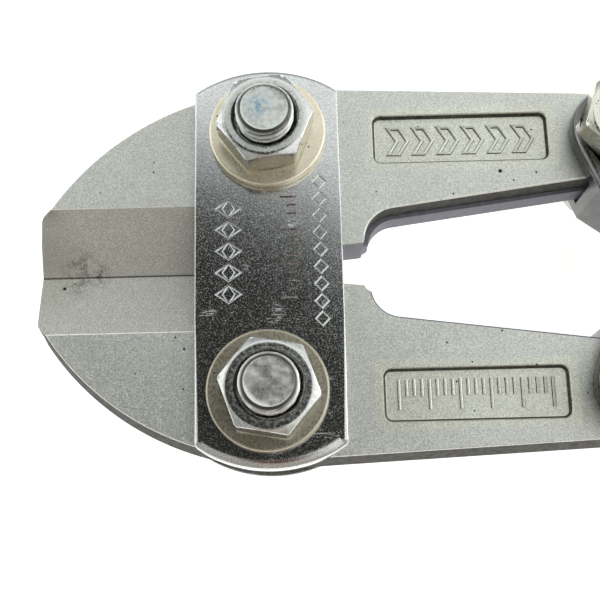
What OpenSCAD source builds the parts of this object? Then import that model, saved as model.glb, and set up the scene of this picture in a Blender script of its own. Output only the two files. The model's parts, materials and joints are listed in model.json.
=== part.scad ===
// Bolt cutters, 210 mm class, closed.
// +X runs from the blades to the grips, +Y is the upper jaw's side, +Z is the nut side.
// Origin: under the middle of the tool, on the plane the bolt heads rest on.
// Head dimensions are measured from the middle of the connecting plate.

/* [Overall] */
// Length from the blades' front edge to the ends of the grips
overall_len = 210; // [205:1:220]

/* [Jaws] */
// Thickness of each jaw forging
jaw_t = 7.9; // [7.5:0.1:7.9]
// Distance from the plate's middle to the blades' front edge
blade_reach = 33.1; // [32.5:0.1:34]
// Width of one ground cutting bevel
bevel_w = 9.3; // [8.5:0.1:10]
// Radius of the jaw's round back
jaw_back_r = 39.8; // [39:0.1:40.5]
// Depth of the sunk panels in the jaw arms
panel_depth = 0.8; // [0.4:0.1:1.2]
// Gap left between the closed cutting edges, per jaw
edge_gap = 0.05; // [0.02:0.01:0.1]

/* [Plates] */
// Width of a connecting plate
plate_w = 20.7; // [19.5:0.1:21.5]
// Length of a connecting plate, crown to crown
plate_len = 57.8; // [57:0.1:58.5]
// Thickness of a connecting plate
plate_t = 3; // [2.5:0.1:3.5]
// Radius of the plate's crowned ends
plate_end_r = 18.3; // [17.5:0.1:19]

/* [Pivots] */
// Height of a jaw pivot above the tool's centre line
jaw_pivot_y = 18.7; // [18.3:0.1:19]
// Height of a jaw-to-handle pivot above the centre line, closed
link_y = 18.5; // [18.2:0.1:18.8]
// Distance from the plate's middle back to the jaw-to-handle pivots
link_x = 51.2; // [50.5:0.1:52]
// Distance from those pivots back to the centre pivot
centre_step = 8; // [7.5:0.1:8.5]

/* [Fasteners] */
// Radius of the pivot bolts' shanks
bolt_r = 4; // [3.9:0.05:4]
// Width across flats of bolt heads and nuts
hex_af = 12; // [11.5:0.5:12.5]
// Height of a bolt head
head_h = 5.3; // [5:0.1:5.5]
// Height of a nut
nut_h = 5.2; // [5:0.1:6.5]
// Thickness of a flat washer
washer_t = 1.6; // [1.2:0.1:1.8]
// Outside radius of a flat washer
washer_r = 8.3; // [8:0.1:8.5]
// How far a bolt's end stands proud of its nut
bolt_proud = 2.4; // [1.5:0.1:3]
// Radial running clearance of a shank in a moving part
running_gap = 0.05; // [0.02:0.01:0.1]
// Radial clearance of the lower handle's eye on the centre bolt
centre_float = 1.1; // [1:0.1:1.3]

/* [Handles] */
// Thickness of the forged handle heads
handle_t = 14; // [13.8:0.1:14]
// Width of the shank between the handle head and the grip
shank_w = 11; // [10:0.5:12]
// Thickness of the shank
shank_t = 8; // [7:0.5:9]
// Width of the dipped grip
grip_w = 19; // [18:0.5:20]
// Thickness of the dipped grip
grip_t = 16; // [15:0.5:17]
// Where the grip starts, measured from the plate's middle
grip_start = 87; // [84:1:95]

/* [Hidden] */
$fn = 96;

eps = 0.01;
plate_z = 4;                              // face of each plate that the jaws slide on
stack_z = plate_z + plate_t;              // outside of plates and handle heads
mid_z = stack_z + head_h;                 // height of the jaws' middle plane
head_x = blade_reach - overall_len / 2;   // the plate's middle in the tool's frame
tail_x = overall_len - blade_reach;       // the grips' ends, from the plate's middle

jaw_pivot = [0, jaw_pivot_y];
link = [link_x, link_y];
centre = [link_x + centre_step, 0];

// Jaw outline: a round back, then a nearly straight arm that widens the inner gap rearwards.
back_c = [1.7, -12.5];
back_end_x = 4;
arm_top_y = 27.4;
arm_taper = 0.042;
inner_y0 = 5.47;
inner_slope = 0.138;
nose_y = 7.6;
back_start = [-31.4, 9.5];
neck = [13.4, 3.2];
throat = [[10.7, 3], [-2, 1.4], [-3.2, edge_gap]];
fillet_r = 5;
fillet_x = 18.3;
jaw_end_r = 6.5;
bevel_end_x = -1;
panel = [[15.4, 15.2], [41.1, 22.6]];

// Handle outline: three eyes joined by webs.
eye_link_r = 7.1;
eye_centre_r = 8;
tongue_r = 7.6;
shank_c = [tail_x - 98.5, 15.7];
ear_gap = 4.05;        // half the fork slot's height
tongue_z = 3.9;        // half the centre tongue's thickness
slot_r = 7;            // fork slot around the jaw's end
swing = 39.4;          // how far the handle turns on its jaw
recess_r = 9.3;        // room in the handle head for the other handle's eye
front_limit = 142;     // the head stays below this angle round the centre pivot
stop_gap = 0.15;       // closed gap between each handle's stop face and the centre line
eye_in = 2;

// The grips follow a long arc that bows outwards.
grip_end_y = 15.5;
grip_bow = 4;
bow_chord = tail_x - shank_c[0];
bow_r = bow_chord * bow_chord / (8 * grip_bow) + grip_bow / 2;
bow_c = [shank_c[0] + bow_chord / 2, grip_end_y + grip_bow - bow_r];

function polar(c, r, a) = c + r * [cos(a), sin(a)];
function arc(c, r, a0, a1, n) = [for (i = [0:n]) polar(c, r, a0 + (a1 - a0) * i / n)];
function angle_at(x) = asin((x - bow_c[0]) / bow_r);
function inner_y(x) = inner_y0 + inner_slope * x;
function top_y(x) = arm_top_y - arm_taper * x;

module local() { translate([head_x, 0, mid_z]) children(); }
module slab(z0, z1) { translate([0, 0, z0]) linear_extrude(z1 - z0) children(); }
module lower() { mirror([0, 1, 0]) children(); }
module drill(p, r) { translate([p[0], p[1], -10]) cylinder(r = r, h = 20); }

// The flat web between two round eyes, as the quadrilateral between their tangents.
module web(p, rp, q, rq) {
    d = norm(q - p);
    a = atan2(q[1] - p[1], q[0] - p[0]);
    t = acos((rp - rq) / d);
    polygon([polar(p, rp, a + t), polar(q, rq, a + t), polar(q, rq, a - t), polar(p, rp, a - t)]);
}

// ---- jaws ----

module jaw_outline() {
    start_a = atan2(back_start[1] - back_c[1], back_start[0] - back_c[0]);
    end_a = atan2(top_y(back_end_x) - back_c[1], back_end_x - back_c[0]);
    end_r = norm([back_end_x, top_y(back_end_x)] - back_c);
    fillet_c = [fillet_x, inner_y(fillet_x) + 0.3 - fillet_r];
    polygon(concat(
        [[-blade_reach, edge_gap], [-blade_reach, nose_y]],
        [for (i = [0:24]) polar(back_c, jaw_back_r + (end_r - jaw_back_r) * pow(i / 24, 2),
            start_a + (end_a - start_a) * i / 24)],
        [[link_x, top_y(link_x)], [link_x, inner_y(link_x) - 0.4]],
        arc(fillet_c, fillet_r, 90, 168, 8), [neck], throat));
}

module jaw() {
    difference() {
        union() {
            slab(-jaw_t / 2, jaw_t / 2) difference() {
                jaw_outline();
                translate([link_x, link_y - 15]) square([20, 30]);
            }
            translate([link_x, link_y, -jaw_t / 2]) cylinder(r = jaw_end_r, h = jaw_t);
        }
        for (side = [0, 1]) mirror([0, 0, side]) {
            rotate([90, 0, 90]) translate([0, 0, -40]) linear_extrude(40 + bevel_end_x)
                polygon([[-1, 0.02], [edge_gap, 0.02], [bevel_w, jaw_t / 2 + eps], [-1, jaw_t / 2 + eps]]);
            translate([panel[0][0], panel[0][1], jaw_t / 2 - panel_depth])
                cube([panel[1][0] - panel[0][0], panel[1][1] - panel[0][1], panel_depth + eps]);
        }
        drill(jaw_pivot, bolt_r + running_gap);
        drill(link, bolt_r + running_gap);
    }
}

module upper_jaw() { color([0.72, 0.74, 0.71]) local() jaw(); }
module lower_jaw() { color([0.72, 0.74, 0.71]) local() lower() jaw(); }

// ---- plates ----

module plate_outline() {
    intersection() {
        square([plate_w, plate_len + 1], center = true);
        for (s = [-1, 1]) translate([0, s * (plate_len / 2 - plate_end_r)]) circle(plate_end_r);
    }
}

module plate(z0) {
    difference() {
        slab(z0, z0 + plate_t) plate_outline();
        for (s = [-1, 1]) translate([0, s * jaw_pivot_y, z0 - 1]) cylinder(r = bolt_r, h = plate_t + 2);
    }
}

module front_plate() { color([0.75, 0.76, 0.78]) local() plate(plate_z); }
module rear_plate() { color([0.75, 0.76, 0.78]) local() plate(-stack_z); }

// ---- fasteners ----

// A hexagon with its corners turned down to a cone at the top, and at the bottom if asked.
module hex_block(h, turn, both) {
    corner_r = hex_af / 2 / cos(30);
    face_r = hex_af / 2 * 0.98;
    drop = (corner_r - face_r) * tan(30);
    intersection() {
        rotate([0, 0, turn]) cylinder(r = corner_r, h = h, $fn = 6);
        rotate_extrude() polygon([[0, 0], [both ? face_r : corner_r + 1, 0],
            [corner_r + 1, both ? drop + tan(30) : 0], [corner_r + 1, h - drop - tan(30)],
            [face_r, h], [0, h]]);
    }
}

// A bolt along +Z with its head, h high, below seat_z and its chamfered end at top_z.
module bolt(p, top_z, seat_z = -stack_z, h = head_h) {
    chamfer = 0.8;
    translate([p[0], p[1], 0]) {
        translate([0, 0, seat_z]) mirror([0, 0, 1]) hex_block(h, 0, false);
        rotate_extrude() polygon([[0, seat_z - 1], [bolt_r, seat_z - 1],
            [bolt_r, top_z - chamfer], [bolt_r - chamfer, top_z], [0, top_z]]);
    }
}

module nut(p, z0, turn) {
    translate([p[0], p[1], z0]) difference() {
        hex_block(nut_h, turn, true);
        translate([0, 0, -1]) cylinder(r = bolt_r, h = nut_h + 2);
    }
}

module washer(p, z0) {
    translate([p[0], p[1], z0]) difference() {
        cylinder(r = washer_r, h = washer_t);
        translate([0, 0, -1]) cylinder(r = bolt_r, h = washer_t + 2);
    }
}

under_nut_z = stack_z + washer_t;
washered_top = under_nut_z + nut_h + bolt_proud;
link_top = stack_z + nut_h + bolt_proud;
upper_nut_turn = 7.5;
lower_nut_turn = -10.3;
upper_link_turn = 12;
lower_link_turn = 20;
centre_turn = 15;
low_jaw_pivot = [jaw_pivot[0], -jaw_pivot[1]];
low_link = [link[0], -link[1]];

module upper_jaw_bolt() { color([0.8, 0.8, 0.79]) local() bolt(jaw_pivot, washered_top); }
module lower_jaw_bolt() { color([0.8, 0.8, 0.79]) local() bolt(low_jaw_pivot, washered_top); }
module upper_jaw_washer() { color([0.8, 0.75, 0.64]) local() washer(jaw_pivot, stack_z); }
module lower_jaw_washer() { color([0.8, 0.75, 0.64]) local() washer(low_jaw_pivot, stack_z); }
module upper_jaw_nut() { color([0.8, 0.8, 0.79]) local() nut(jaw_pivot, under_nut_z, upper_nut_turn); }
module lower_jaw_nut() { color([0.8, 0.8, 0.79]) local() nut(low_jaw_pivot, under_nut_z, lower_nut_turn); }
module upper_link_bolt() { color([0.8, 0.79, 0.75]) local() bolt(link, link_top); }
module lower_link_bolt() { color([0.8, 0.79, 0.75]) local() bolt(low_link, link_top); }
module upper_link_nut() { color([0.8, 0.79, 0.75]) local() nut(link, stack_z, upper_link_turn); }
module lower_link_nut() { color([0.8, 0.79, 0.75]) local() nut(low_link, stack_z, lower_link_turn); }

// The centre bolt's rear washer sits between its head and the handles, so its head is shorter.
module centre_bolt() {
    color([0.8, 0.79, 0.75]) local() bolt(centre, washered_top, -under_nut_z, head_h - washer_t);
}
module centre_nut() { color([0.8, 0.79, 0.75]) local() nut(centre, under_nut_z, centre_turn); }
module centre_front_washer() { color([0.8, 0.75, 0.64]) local() washer(centre, stack_z); }
module centre_rear_washer() { color([0.8, 0.75, 0.64]) local() washer(centre, -under_nut_z); }

// ---- handles ----

// Everything the handle head may fill at full thickness: beside the centre line and behind the jaws.
module head_room() {
    far = 60;
    polygon([[centre[0], stop_gap], [centre[0] + far, stop_gap], [centre[0] + far, far],
        [centre[0] - far, far], polar(centre, far, front_limit)]);
}

module head_outline() {
    web(link, eye_link_r, centre, eye_centre_r);
    web(centre, eye_centre_r, shank_c, shank_w / 2);
    web(link, eye_link_r, shank_c, shank_w / 2);
    polygon([link, centre, shank_c]);
    translate(link) circle(eye_link_r);
    translate(shank_c) circle(shank_w / 2);
}

// The fork slot's outline: the jaw's end and the path its arm sweeps.
module jaw_sweep() {
    far = 40;
    open_a = 180 - swing;
    shoulder = polar(link, slot_r, open_a - 90);
    translate(link) circle(slot_r);
    polygon([shoulder, polar(shoulder, far, open_a), link + [-far, far],
        link + [-far, -slot_r - 5], link - [1, slot_r], link]);
}

module head_solid() {
    slab(-handle_t / 2, handle_t / 2) difference() {
        intersection() {
            head_outline();
            head_room();
        }
        translate(centre) circle(recess_r);
    }
}

// A ring sector that joins the centre eye to the head through the recess.
module eye_bridge() {
    intersection() {
        difference() {
            translate(centre) circle(recess_r + 0.5);
            translate(centre) circle(tongue_r - eye_in);
        }
        polygon([centre, polar(centre, 30, 22), polar(centre, 30, 75), polar(centre, 30, 132)]);
        head_room();
    }
}

// The shank: a flat bar bent along the bow, with its corners taken off.
module bar_section(w, t, c) {
    polygon([[-w / 2 + c, -t / 2], [w / 2 - c, -t / 2], [w / 2, -t / 2 + c], [w / 2, t / 2 - c],
        [w / 2 - c, t / 2], [-w / 2 + c, t / 2], [-w / 2, t / 2 - c], [-w / 2, -t / 2 + c]]);
}

module along_bow(x0, x1) {
    a0 = 90 - angle_at(x1);
    a1 = 90 - angle_at(x0);
    translate([bow_c[0], bow_c[1], 0]) rotate([0, 0, a0]) rotate_extrude(angle = a1 - a0, $fn = 720)
        translate([bow_r, 0]) children();
}

shank_end_x = tail_x - 9;
shank_chamfer = 1.2;

module shank() { along_bow(shank_c[0] - 3, shank_end_x) bar_section(shank_w, shank_t, shank_chamfer); }

module handle_blank() {
    head_solid();
    shank();
}

module link_fork_cut() { slab(-ear_gap, ear_gap) jaw_sweep(); }

// The upper handle carries the middle tongue of the centre joint.
module upper_handle() {
    color([0.3, 0.31, 0.33]) local() difference() {
        union() {
            handle_blank();
            slab(-tongue_z, tongue_z) translate(centre) circle(tongue_r);
            slab(-tongue_z, tongue_z) eye_bridge();
        }
        link_fork_cut();
        drill(link, bolt_r);
        drill(centre, bolt_r);
    }
}

// The lower handle carries the two outer ears of the centre joint.
module lower_handle() {
    color([0.3, 0.31, 0.33]) local() lower() difference() {
        union() {
            handle_blank();
            for (side = [0, 1]) mirror([0, 0, side]) slab(ear_gap, handle_t / 2 - 0.05) {
                translate(centre) circle(eye_centre_r);
                eye_bridge();
            }
        }
        link_fork_cut();
        drill(link, bolt_r);
        drill(centre, bolt_r + centre_float);
    }
}

// ---- grips ----

// The right half of the sleeve's section, rounded off above and below.
function sleeve_half(w, t, c) = concat(arc([w / 2 - c, c - t / 2], c, -90, 0, 6),
    arc([w / 2 - c, t / 2 - c], c, 0, 90, 6));
function flip_x(points) = [for (i = [len(points) - 1:-1:0]) [-points[i][0], points[i][1]]];

// The sleeve's end is turned about its own centre, a little slimmer than the sleeve.
module grip() {
    corner = 6.5;
    slim = 0.8;
    half = sleeve_half(grip_w, grip_t, corner);
    end_half = sleeve_half(grip_w - slim, grip_t - slim, corner);
    end_x = tail_x - (grip_w - slim) / 2;
    end_p = polar(bow_c, bow_r, 90 - angle_at(end_x));
    difference() {
        union() {
            along_bow(grip_start, end_x) polygon(concat(half, flip_x(half)));
            translate([end_p[0], end_p[1], 0]) rotate_extrude()
                polygon(concat([[0, (slim - grip_t) / 2]], end_half, [[0, (grip_t - slim) / 2]]));
        }
        along_bow(grip_start - 1, shank_end_x) bar_section(shank_w, shank_t, shank_chamfer);
    }
}

module upper_grip() { color([0.75, 0.08, 0.06]) local() grip(); }
module lower_grip() { color([0.75, 0.08, 0.06]) local() lower() grip(); }

upper_jaw();
lower_jaw();
front_plate();
rear_plate();
upper_jaw_bolt();
lower_jaw_bolt();
upper_jaw_washer();
lower_jaw_washer();
upper_jaw_nut();
lower_jaw_nut();
upper_handle();
lower_handle();
upper_link_bolt();
lower_link_bolt();
upper_link_nut();
lower_link_nut();
centre_bolt();
centre_nut();
centre_front_washer();
centre_rear_washer();
upper_grip();
lower_grip();
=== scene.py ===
import json
import math

import bmesh
import bpy
from mathutils import Matrix, Vector, noise


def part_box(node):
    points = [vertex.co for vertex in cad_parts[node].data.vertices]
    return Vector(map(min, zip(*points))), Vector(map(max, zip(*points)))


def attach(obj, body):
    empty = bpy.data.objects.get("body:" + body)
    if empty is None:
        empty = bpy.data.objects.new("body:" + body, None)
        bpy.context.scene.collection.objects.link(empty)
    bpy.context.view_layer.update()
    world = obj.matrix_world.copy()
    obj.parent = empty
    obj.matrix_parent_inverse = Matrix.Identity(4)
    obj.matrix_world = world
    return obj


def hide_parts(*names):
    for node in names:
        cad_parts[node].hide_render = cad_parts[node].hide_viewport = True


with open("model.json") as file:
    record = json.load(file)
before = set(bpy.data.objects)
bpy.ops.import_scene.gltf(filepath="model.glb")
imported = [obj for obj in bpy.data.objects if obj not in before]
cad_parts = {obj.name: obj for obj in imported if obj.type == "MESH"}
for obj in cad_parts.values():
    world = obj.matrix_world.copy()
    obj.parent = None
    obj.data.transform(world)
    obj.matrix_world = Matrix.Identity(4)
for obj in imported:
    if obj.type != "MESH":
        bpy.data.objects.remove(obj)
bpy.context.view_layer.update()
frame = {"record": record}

# Bolt cutters, closed. All shapes are written in millimetres from the middle of the front plate,
# at the jaws' middle plane, and placed in the frame by HEAD.

MM = 0.001
JOINTS = {joint["name"]: joint for joint in frame["record"]["behaviour"]["joints"]}
JAW_PIVOT = Vector(JOINTS["upper_jaw_swing"]["pos_m"])
HEAD = Vector((JAW_PIVOT.x, 0, JAW_PIVOT.z))


def local(point):
    """A point of the frame, in millimetres from the head's middle."""
    return (Vector(point) - HEAD) / MM


def node_middle(node):
    low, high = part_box(node)
    return local((Vector(low) + Vector(high)) / 2)


LINK = local(JOINTS["upper_handle_swing"]["pos_m"])
PIVOT = local(JAW_PIVOT)
CENTRE = node_middle("centre_bolt")
FRONT_X = local(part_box("upper_jaw")[0]).x
TAIL_X = local(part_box("upper_grip")[1]).x
PLATE_LOW = local(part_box("front_plate")[0])
PLATE_HIGH = local(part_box("front_plate")[1])
JAW_TOP = local(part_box("upper_jaw")[1]).z
HANDLE_TOP = local(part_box("upper_handle")[1]).z
BASE_Z = local(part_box("upper_jaw_bolt")[0]).z
WASHER_TOP = local(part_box("upper_jaw_washer")[1]).z
WASHER_R = (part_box("upper_jaw_washer")[1][0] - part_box("upper_jaw_washer")[0][0]) / 2 / MM
NUT_H = (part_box("upper_jaw_nut")[1][2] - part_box("upper_jaw_nut")[0][2]) / MM
BOLT_TOP = local(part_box("upper_jaw_bolt")[1]).z
LINK_TOP = local(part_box("upper_link_bolt")[1]).z

BOLT_R = 4.0
THREAD_PITCH = 1.25
HEX_AF = 12.0
BEVEL_W = 9.3
PANEL = (15.4, 41.1, 15.2, 22.6)  # the sunk panel in an arm: x from, x to, y from, y to
PANEL_DEPTH = 0.8
STOP_GAP = 0.16  # from each handle's stop face to the centre line


# ---- outlines

def polar(centre, radius, degrees):
    a = math.radians(degrees)
    return (centre[0] + radius * math.cos(a), centre[1] + radius * math.sin(a))


def arc(centre, radius, start, end, steps):
    return [polar(centre, radius, start + (end - start) * i / steps) for i in range(steps + 1)]


def fillet(before, corner, after, radius, steps=5):
    """The corner of a path, rounded with the given radius."""
    p, q, r = Vector(before[:2]), Vector(corner[:2]), Vector(after[:2])
    u, v = (p - q).normalized(), (r - q).normalized()
    half = u.angle(v) / 2
    reach = radius / math.tan(half)
    middle = q + (u + v).normalized() * radius / math.sin(half)
    a, b = q + u * reach - middle, q + v * reach - middle
    turn = a.angle_signed(b)
    return [tuple(middle + Matrix.Rotation(-turn * i / steps, 2) @ a) for i in range(steps + 1)]


def inward(points):
    """The unit miter normals of a closed anticlockwise outline, pointing inwards."""
    result = []
    for i, point in enumerate(points):
        p, q, r = Vector(points[i - 1]), Vector(point), Vector(points[(i + 1) % len(points)])
        u, v = (q - p).normalized(), (r - q).normalized()
        normal = Vector((-u.y - v.y, u.x + v.x)).normalized()
        stretch = max(0.5, normal.dot(Vector((-u.y, u.x))))
        result.append(normal / stretch)
    return result


def hull(points):
    """The convex hull, anticlockwise."""
    points = sorted(set((round(x, 6), round(y, 6)) for x, y in points))

    def chain(order):
        line = []
        for p in order:
            while len(line) > 1 and ((line[-1][0] - line[-2][0]) * (p[1] - line[-2][1])
                                     - (line[-1][1] - line[-2][1]) * (p[0] - line[-2][0])) <= 0:
                line.pop()
            line.append(p)
        return line[:-1]

    return chain(points) + chain(reversed(points))


def clip(points, origin, normal):
    """The part of a convex outline on the normal's side of a line."""
    result = []
    for i, q in enumerate(points):
        p = points[i - 1]
        dp = (p[0] - origin[0]) * normal[0] + (p[1] - origin[1]) * normal[1]
        dq = (q[0] - origin[0]) * normal[0] + (q[1] - origin[1]) * normal[1]
        if (dp >= 0) != (dq >= 0):
            t = dp / (dp - dq)
            result.append((p[0] + (q[0] - p[0]) * t, p[1] + (q[1] - p[1]) * t))
        if dq >= 0:
            result.append(q)
    return result


# ---- meshes

def build(name, bm, origin=(0, 0, 0), materials=()):
    """Turns a bmesh in millimetres into an object whose own origin is at a local point."""
    bmesh.ops.recalc_face_normals(bm, faces=bm.faces)
    mesh = bpy.data.meshes.new(name)
    bm.transform(Matrix.Translation(-Vector(origin)))
    bm.transform(Matrix.Scale(MM, 4))
    bm.to_mesh(mesh)
    bm.free()
    obj = bpy.data.objects.new(name, mesh)
    bpy.context.scene.collection.objects.link(obj)
    obj.location = HEAD + Vector(origin) * MM
    for material in materials:
        mesh.materials.append(material)
    return obj


def loft(rings, bm=None, closed=False, tags=None):
    """Skins rings of equal length. closed joins the last ring to the first; otherwise both ends are capped.
    tags(ring, step) gives a side face's material index."""
    bm = bm or bmesh.new()
    rows = [[bm.verts.new(p) for p in ring] for ring in rings]
    count = len(rows[0])
    spans = len(rows) if closed else len(rows) - 1
    for k in range(spans):
        a, b = rows[k], rows[(k + 1) % len(rows)]
        for i in range(count):
            j = (i + 1) % count
            face = bm.faces.new((a[i], a[j], b[j], b[i]))
            if tags:
                face.material_index = tags(k, i)
    if not closed:
        bm.faces.new(list(reversed(rows[0])))
        bm.faces.new(rows[-1])
    return bm


def inset(outline, normals, distances, heights):
    return [(p[0] + n.x * d, p[1] + n.y * d, z) for p, n, d, z in zip(outline, normals, distances, heights)]


def edge_rings(outline, face, wall_side, across, down, steps):
    """Rings from a wall up (or down) to a face, round an elliptical edge. across and down are per point."""
    normals = inward(outline)
    rings = []
    for k in range(steps + 1):
        a = math.pi / 2 * k / steps
        rings.append(inset(outline, normals, [w * (1 - math.cos(a)) for w in across],
                           [face - wall_side * h * (1 - math.sin(a)) for h in down]))
    return rings


def slab(outline, low, high, radii, steps=4, top=None):
    """A plate with rounded edges. radii gives each outline point's edge radius; top can give the upper
    edge's own (across, down) sizes."""
    radii = [radii] * len(outline) if isinstance(radii, (int, float)) else radii
    across, down = top or (radii, radii)
    rings = list(reversed(edge_rings(outline, low, -1, radii, radii, steps)))
    rings += edge_rings(outline, high, 1, across, down, steps)
    return loft(rings)


def turned(profile, centre, steps=96):
    """A ring turned from a closed profile of (radius, height) points."""
    rings = [[(*polar(centre, r, 360 * i / steps), z) for r, z in profile] for i in range(steps)]
    return loft(rings, closed=True)


def bead(path, z, radius, closed, bm, sides=8, flank=None):
    """A round bead along a flat path, for raised and sunk lines."""
    count = len(path)
    rings = []
    for i, point in enumerate(path):
        before = path[i - 1] if closed or i else None
        after = path[(i + 1) % count] if closed or i < count - 1 else None
        q = Vector(point)
        u = (q - Vector(before)).normalized() if before else None
        v = (Vector(after) - q).normalized() if after else None
        u, v = u or v, v or u
        side = Vector((-u.y - v.y, u.x + v.x)).normalized()
        side /= max(0.4, side.dot(Vector((-u.y, u.x))))
        rings.append([(q.x + side.x * radius * math.cos(t), q.y + side.y * radius * math.cos(t),
                       z + radius * math.sin(t)) for t in (2 * math.pi * s / sides for s in range(sides))])
    tags = None
    if flank is not None:
        tags = lambda ring, i: 0 if abs(math.sin(math.pi * (2 * i + 1) / sides)) > 0.8 else flank
    return loft(rings, bm, closed=closed, tags=tags)


def cut(obj, bm, operation="DIFFERENCE", crossing=False):
    """Applies a boolean with a temporary solid that shares obj's origin."""
    tool = build("tool", bm, (obj.location - HEAD) / MM)
    modifier = obj.modifiers.new("cut", "BOOLEAN")
    modifier.operation = operation
    modifier.solver = "EXACT"
    modifier.use_self = crossing
    modifier.object = tool
    apply_modifiers(obj)
    bpy.data.objects.remove(tool)


def apply_modifiers(obj):
    depsgraph = bpy.context.evaluated_depsgraph_get()
    depsgraph.update()
    mesh = bpy.data.meshes.new_from_object(obj.evaluated_get(depsgraph))
    old = obj.data
    mesh.name = old.name
    obj.modifiers.clear()
    obj.data = mesh
    bpy.data.meshes.remove(old)


def smooth(obj, degrees=32, weighted=True):
    """Smooth shading with sharp creases, and flat faces kept flat."""
    bm = bmesh.new()
    bm.from_mesh(obj.data)
    bmesh.ops.remove_doubles(bm, verts=bm.verts, dist=2e-7)
    bmesh.ops.dissolve_degenerate(bm, edges=bm.edges, dist=2e-7)
    bm.to_mesh(obj.data)
    bm.free()
    for polygon in obj.data.polygons:
        polygon.use_smooth = True
    obj.data.set_sharp_from_angle(angle=math.radians(degrees))
    if weighted:
        modifier = obj.modifiers.new("normals", "WEIGHTED_NORMAL")
        modifier.keep_sharp = True
        modifier.weight = 100


def place(obj, body, slot, *nodes):
    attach(obj, body)
    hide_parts(*nodes)
    return obj


# ---- materials

class Nodes:
    """A short way to write a material's node tree."""

    def __init__(self, name, **settings):
        self.material = bpy.data.materials.new(name)
        self.material.use_nodes = True
        self.tree = self.material.node_tree
        self.shader = self.tree.nodes["Principled BSDF"]
        self.coords = self.add("ShaderNodeTexCoord").outputs["Object"]
        for key, value in settings.items():
            self.shader.inputs[key.replace("_", " ")].default_value = value

    def add(self, kind, **properties):
        node = self.tree.nodes.new(kind)
        for key, value in properties.items():
            setattr(node, key, value)
        return node

    def plug(self, node, key, value):
        if isinstance(value, bpy.types.NodeSocket):
            self.tree.links.new(value, node.inputs[key])
        else:
            node.inputs[key].default_value = value

    def scaled(self, factors):
        node = self.add("ShaderNodeVectorMath", operation="MULTIPLY")
        self.plug(node, 0, self.coords)
        self.plug(node, 1, factors)
        return node.outputs[0]

    def along_x(self, x):
        node = self.add("ShaderNodeCombineXYZ")
        self.plug(node, 0, x)
        return node.outputs[0]

    def noise(self, scale, detail=3.0, rough=0.6, vector=None):
        node = self.add("ShaderNodeTexNoise")
        self.plug(node, "Vector", vector or self.coords)
        for key, value in (("Scale", scale), ("Detail", detail), ("Roughness", rough)):
            self.plug(node, key, value)
        return node.outputs[0]

    def cells(self, scale, output="Distance"):
        node = self.add("ShaderNodeTexVoronoi")
        self.plug(node, "Vector", self.coords)
        self.plug(node, "Scale", scale)
        return node.outputs[output]

    def math(self, operation, a, b=0.0):
        node = self.add("ShaderNodeMath", operation=operation)
        self.plug(node, 0, a)
        self.plug(node, 1, b)
        return node.outputs[0]

    def times(self, a, b):
        return self.math("MULTIPLY", a, b)

    def plus(self, a, b):
        return self.math("ADD", a, b)

    def larger(self, a, b):
        return self.math("MAXIMUM", a, b)

    def absolute(self, a):
        return self.math("ABSOLUTE", a)

    def span(self, value, low, high, to_low=0.0, to_high=1.0):
        node = self.add("ShaderNodeMapRange", interpolation_type="SMOOTHSTEP")
        for key, item in zip(range(5), (value, low, high, to_low, to_high)):
            self.plug(node, key, item)
        return node.outputs[0]

    def mix(self, factor, a, b, blend="MIX"):
        node = self.add("ShaderNodeMix", data_type="RGBA", blend_type=blend)
        self.plug(node, 0, factor)
        for key, value in ((6, a), (7, b)):
            self.plug(node, key, value if isinstance(value, bpy.types.NodeSocket) else (*value, 1.0))
        return node.outputs[2]

    def split(self, vector=None):
        node = self.add("ShaderNodeSeparateXYZ")
        self.plug(node, 0, vector or self.coords)
        return node.outputs

    def normal(self):
        return self.split(self.add("ShaderNodeNewGeometry").outputs["Normal"])

    def radius(self):
        x, y, _ = self.split()
        return self.math("SQRT", self.plus(self.times(x, x), self.times(y, y)))

    def spot(self, point, size):
        """1 at a point of the piece (mm), falling to 0 at size (mm)."""
        node = self.add("ShaderNodeVectorMath", operation="DISTANCE")
        self.plug(node, 0, self.coords)
        self.plug(node, 1, tuple(c * MM for c in point))
        return self.span(node.outputs["Value"], 0.0, size * MM, 1.0, 0.0)

    def bump(self, height, strength, depth_mm):
        node = self.add("ShaderNodeBump")
        self.plug(node, "Strength", strength)
        self.plug(node, "Distance", depth_mm * MM)
        self.plug(node, "Height", height)
        return node.outputs[0]

    def finish(self, **links):
        for key, value in links.items():
            self.plug(self.shader, key.replace("_", " "), value)
        return self.material


def pits(m, scale, size, share):
    """1 in scattered dark pinholes: one cell in a few holds a pit."""
    near = m.span(m.cells(scale), size * 0.6, size, 1.0, 0.0)
    picked = m.span(m.split(m.cells(scale, "Color"))[0], share, share + 0.02, 1.0, 0.0)
    return m.times(near, picked)


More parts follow.
